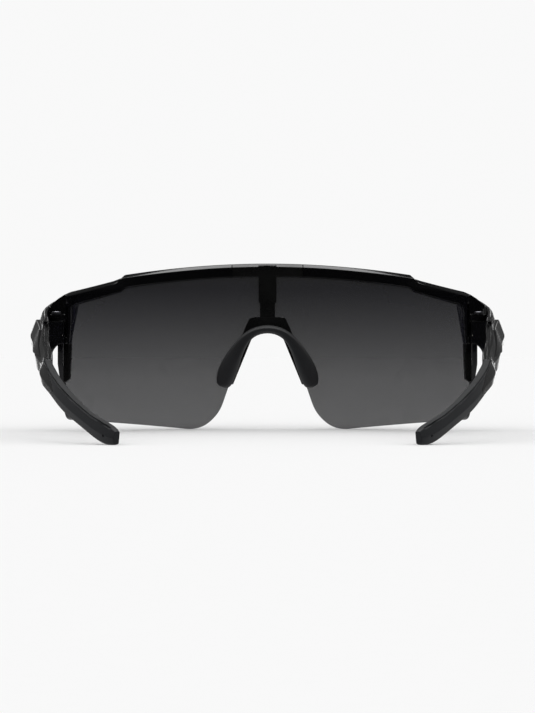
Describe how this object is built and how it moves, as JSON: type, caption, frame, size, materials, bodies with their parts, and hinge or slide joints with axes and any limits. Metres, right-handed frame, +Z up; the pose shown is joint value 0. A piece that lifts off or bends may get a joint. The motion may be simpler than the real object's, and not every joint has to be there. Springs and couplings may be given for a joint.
{
  "type": "wraparound sport sunglasses",
  "caption": "Half-frame wraparound sport sunglasses with a one-piece cylindrical shield lens, T-stem nose piece, soft nose saddle and folding temples with rubber sleeves.",
  "frame": {"origin": "middle of the box that holds the open glasses, at the height of the surface that they stand on", "axes": "+Z up; -Y the way the wearer faces; the temples run towards +Y; +X the wearer's left"},
  "size_m": [0.145, 0.1634, 0.0533],
  "materials": {
    "lens": "dark grey tinted polycarbonate, polished",
    "frame": "black injection-moulded nylon, semi-gloss",
    "insert": "black moulded nylon, satin",
    "nose_rubber": "dark grey soft rubber, matt",
    "rail": "black moulded nylon, satin",
    "screw": "blackened turned steel",
    "washer": "natural nylon",
    "arm": "black moulded nylon, polished",
    "trim": "black moulded nylon, high gloss",
    "core": "nickel-plated steel wire",
    "sleeve_rubber": "dark grey soft rubber, matt"
  },
  "bodies": {
    "front": {"shield_lens": "lens", "brow_frame": "frame", "bridge_insert": "insert", "nose_carrier": "insert", "nose_pad": "nose_rubber", "side_rail_left": "rail", "hinge_screw_left": "screw", "hinge_nut_left": "screw", "hinge_washer_left": "washer", "side_rail_right": "rail", "hinge_screw_right": "screw", "hinge_nut_right": "screw", "hinge_washer_right": "washer"},
    "left_temple": {"temple_arm_left": "arm", "temple_trim_left": "trim", "temple_core_left": "core", "temple_sleeve_left": "sleeve_rubber"},
    "right_temple": {"temple_arm_right": "arm", "temple_trim_right": "trim", "temple_core_right": "core", "temple_sleeve_right": "sleeve_rubber"}
  },
  "joints": [
    {"name": "left_fold", "type": "hinge", "parent": "front", "child": "left_temple", "pos_m": [0.0645, -0.0316, 0.0319], "axis": [0, 0, 1], "range_deg": [0, 78]},
    {"name": "right_fold", "type": "hinge", "parent": "front", "child": "right_temple", "pos_m": [-0.0645, -0.0316, 0.0319], "axis": [0, 0, -1], "range_deg": [0, 70]}
  ]
}
